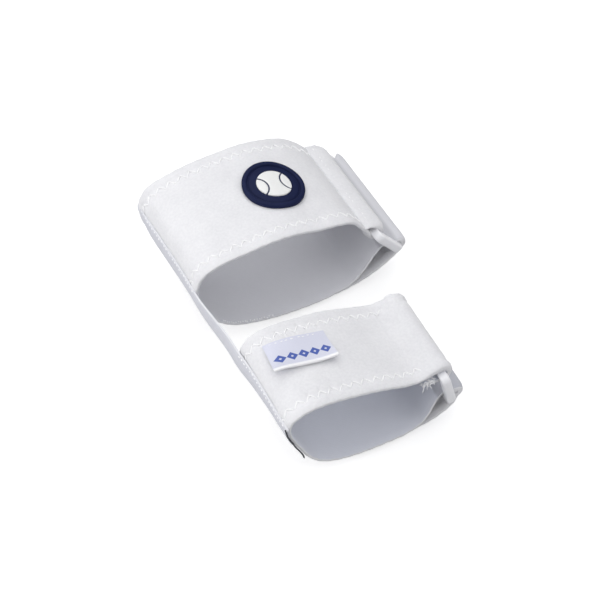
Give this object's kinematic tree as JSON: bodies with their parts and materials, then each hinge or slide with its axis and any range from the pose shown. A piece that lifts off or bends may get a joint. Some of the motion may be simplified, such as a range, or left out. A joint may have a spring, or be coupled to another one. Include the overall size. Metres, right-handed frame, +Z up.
{
  "type": "tennis elbow support",
  "caption": "Elbow support of soft white fabric: a wide and a narrow arm cuff, each drawn through a flat plastic ring and folded back, joined by an elastic side band.",
  "frame": {"origin": "middle of the base, where the support lies on the floor", "axes": "+X from the link band to the rings, +Y along the arm from the narrow cuff to the wide one, +Z up"},
  "size_m": [0.1156, 0.1582, 0.0649],
  "materials": {
    "cuff_fabric": "brushed laminated fabric, white",
    "ring_plastic": "moulded, white",
    "hook_tape": "hook tape, white",
    "badge_rubber": "moulded, dark navy",
    "emblem_rubber": "moulded, white",
    "label_satin": "woven satin, pale lilac",
    "band_elastic": "woven elastic, pale grey"
  },
  "bodies": {
    "root": {"large_cuff": "cuff_fabric", "large_ring": "ring_plastic", "large_hook_patch": "hook_tape", "badge": "badge_rubber", "badge_emblem": "emblem_rubber", "small_cuff": "cuff_fabric", "small_ring": "ring_plastic", "small_hook_patch": "hook_tape", "label": "label_satin", "link_band": "band_elastic"}
  },
  "joints": []
}
